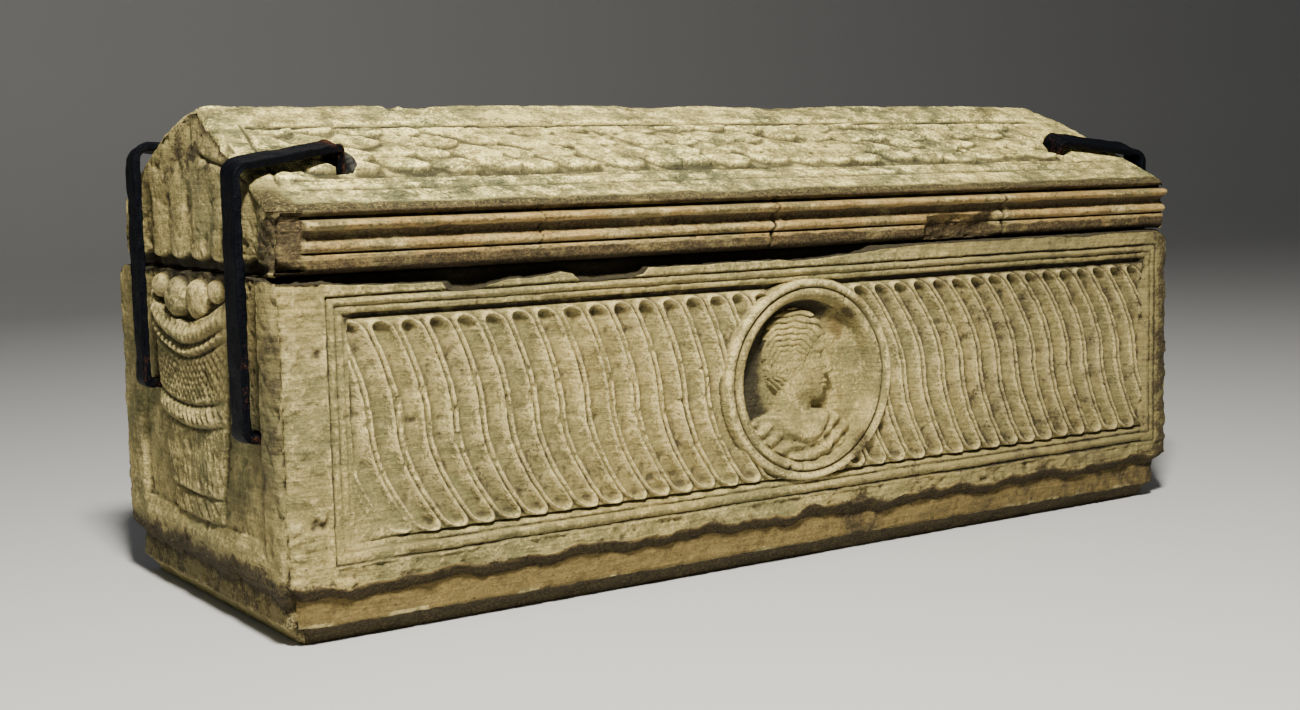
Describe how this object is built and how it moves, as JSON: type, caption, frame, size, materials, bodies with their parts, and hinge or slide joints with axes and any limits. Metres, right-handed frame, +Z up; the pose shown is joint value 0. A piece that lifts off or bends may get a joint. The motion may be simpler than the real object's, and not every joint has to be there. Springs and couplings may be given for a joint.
{
  "type": "stone sarcophagus",
  "caption": "Small Roman limestone sarcophagus: hollow fluted chest with a portrait medallion, gabled leaf-carved lid and bent iron clamps over both ends.",
  "frame": {"origin": "on the floor under the middle of the chest", "axes": "+X along the chest towards its right end, -Y out of the carved front, +Z up"},
  "size_m": [1.5528, 0.578, 0.6365],
  "materials": {
    "limestone": "weathered, tool-marked, stained in the hollows",
    "limestone_lid": "weathered, a little paler than the chest",
    "wrought_iron": "black, with rust at the hooks",
    "lead": null
  },
  "bodies": {
    "root": {"chest": "limestone", "lid": "limestone_lid", "clamp_front_left": "wrought_iron", "clamp_back_left": "wrought_iron", "clamp_front_right": "wrought_iron", "clamp_back_right": "wrought_iron", "lead_plug_front_left": "lead"}
  },
  "joints": []
}
